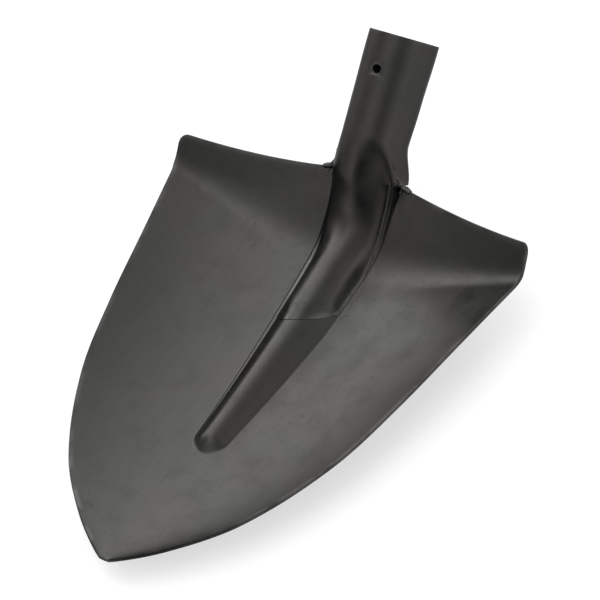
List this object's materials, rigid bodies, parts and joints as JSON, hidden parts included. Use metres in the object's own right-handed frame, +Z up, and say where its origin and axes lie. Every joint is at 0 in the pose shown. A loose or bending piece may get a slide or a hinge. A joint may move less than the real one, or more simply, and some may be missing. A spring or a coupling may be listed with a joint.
{
  "type": "pointed shovel head",
  "caption": "Round-point shovel head: dished steel blade with a pressed middle rib and turned-up treads, and a rolled, slanted socket for a wooden handle.",
  "frame": {"origin": "centre of the bottom of the bounding box, on the ground the head lies on", "axes": "+Z up, out of the hollow face; +Y from the blade's tip towards the socket; +X to the right when the hollow face is seen with the tip down"},
  "size_m": [0.2584, 0.3718, 0.1145],
  "materials": {
    "blade_steel": "dark grey tempered steel under thin clear lacquer, satin",
    "socket_steel": "dark grey tempered steel under thin clear lacquer, satin",
    "weld_metal": "rippled weld bead under the same lacquer"
  },
  "bodies": {
    "root": {"blade": "blade_steel", "socket": "socket_steel", "shoulder_weld_left": "weld_metal", "shoulder_weld_right": "weld_metal"}
  },
  "joints": []
}
